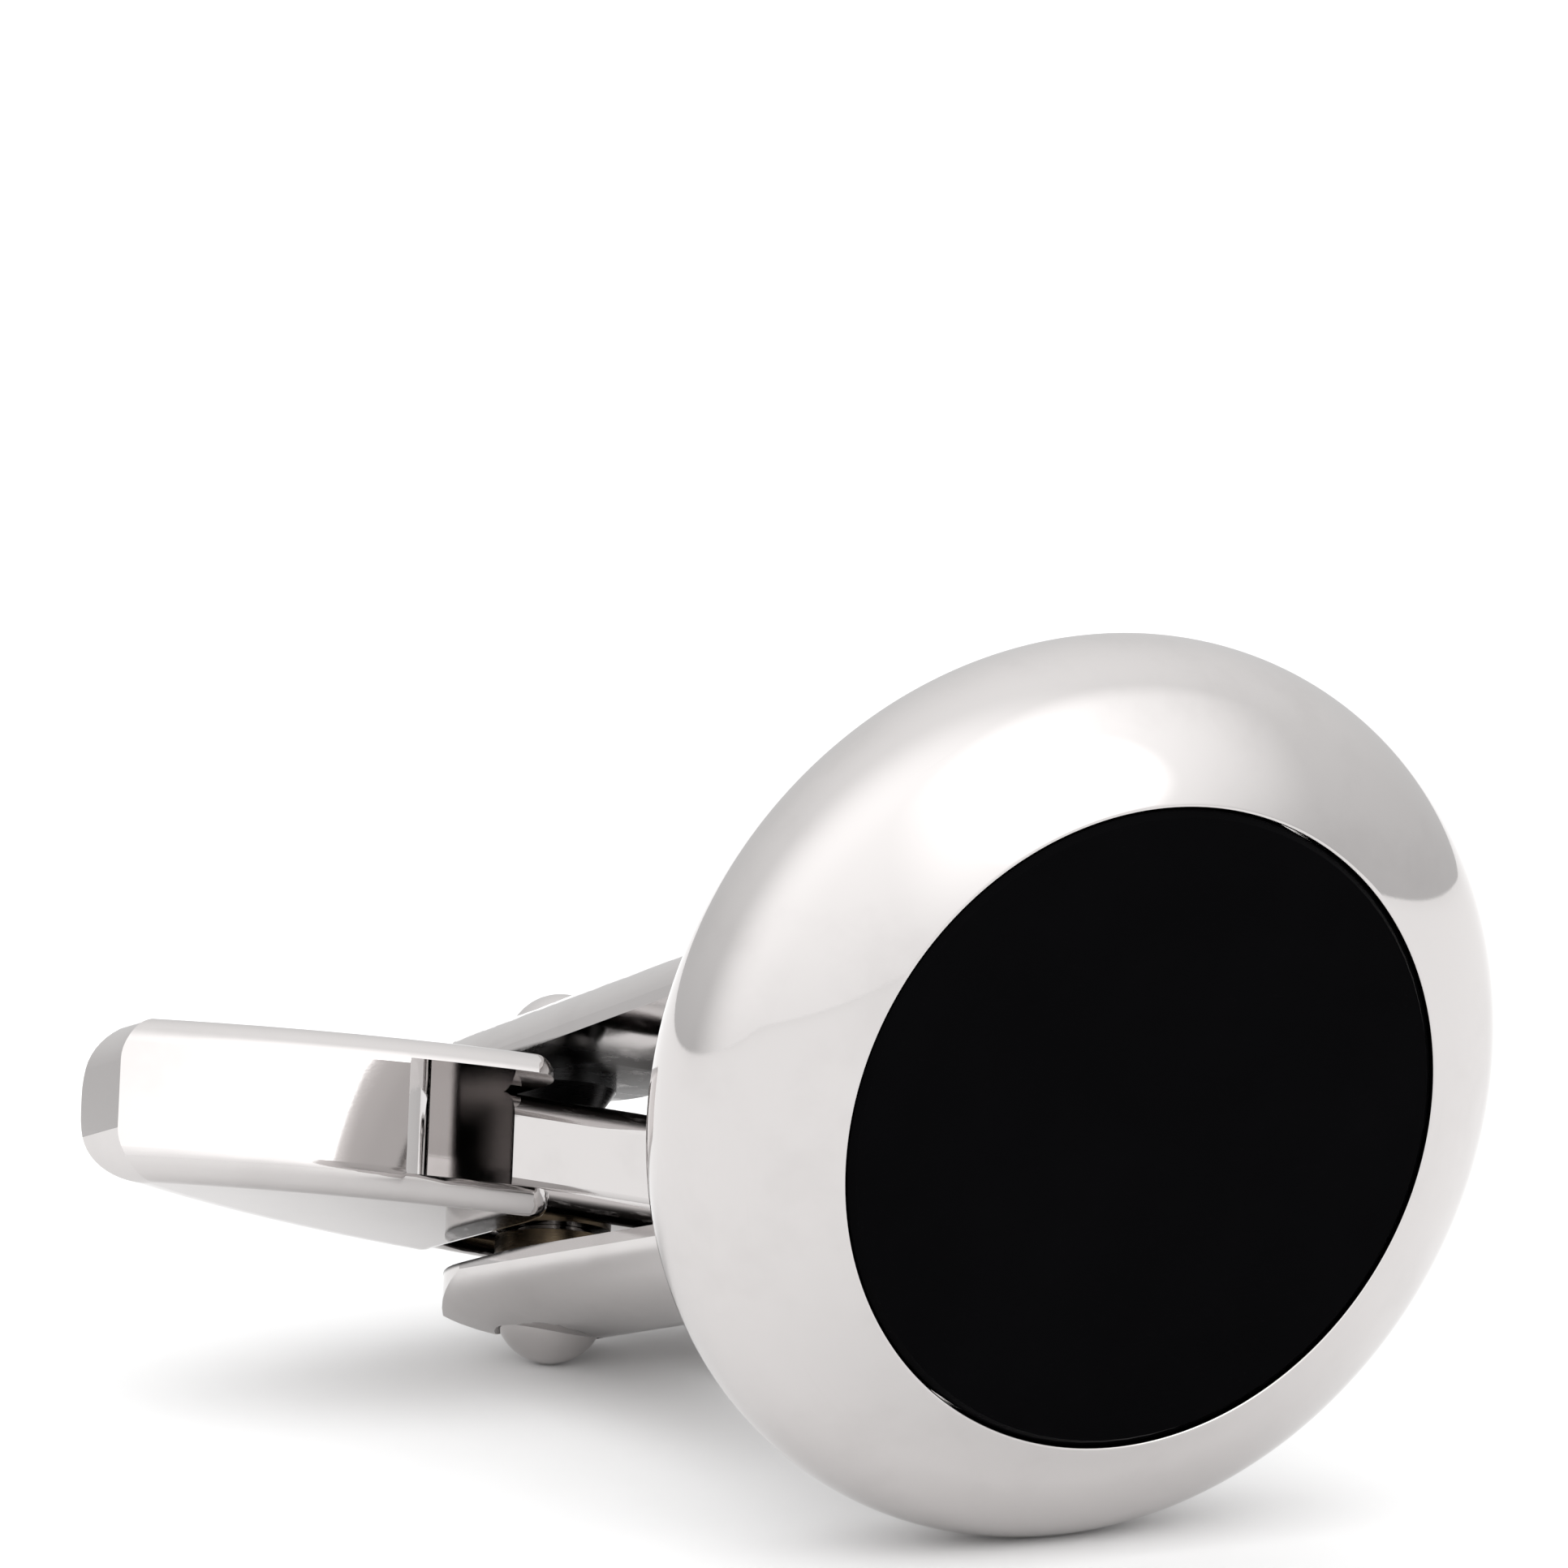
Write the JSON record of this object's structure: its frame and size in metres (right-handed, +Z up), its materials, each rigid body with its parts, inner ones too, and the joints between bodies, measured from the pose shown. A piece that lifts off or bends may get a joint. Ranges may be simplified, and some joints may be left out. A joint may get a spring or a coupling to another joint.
{
  "type": "swivel cufflink",
  "caption": "Round cufflink: polished domed rim around a flat black stone, raked two-armed fork and a bowed bar toggle that swivels on a rivet.",
  "frame": {"origin": "under the middle of the part's box, on the surface it lies on", "axes": "+Z up from the surface it lies on; +Y from the head towards the toggle; +X along the closed toggle, towards its lower end"},
  "size_m": [0.0208, 0.0226, 0.0169],
  "materials": {
    "polished_metal": "mirror-polished rhodium plate",
    "onyx": "flat lapped and polished black onyx",
    "cement": "cured dark epoxy",
    "spring_steel": "blackened spring steel",
    "brass_washer": "darkened brass"
  },
  "bodies": {
    "head": {"bezel": "polished_metal", "onyx_disc": "onyx", "stone_cement": "cement", "back_plate": "polished_metal", "fork": "polished_metal", "hinge_rivet": "polished_metal", "friction_washer": "spring_steel", "spacer_washer": "brass_washer"},
    "toggle": {"toggle": "polished_metal"}
  },
  "joints": [
    {"name": "toggle_swivel", "type": "hinge", "parent": "head", "child": "toggle", "pos_m": [-0.00008, 0.00887, 0.00336], "axis": [0.2068, 0.3462, 0.9151], "range_deg": [-90, 90]}
  ]
}
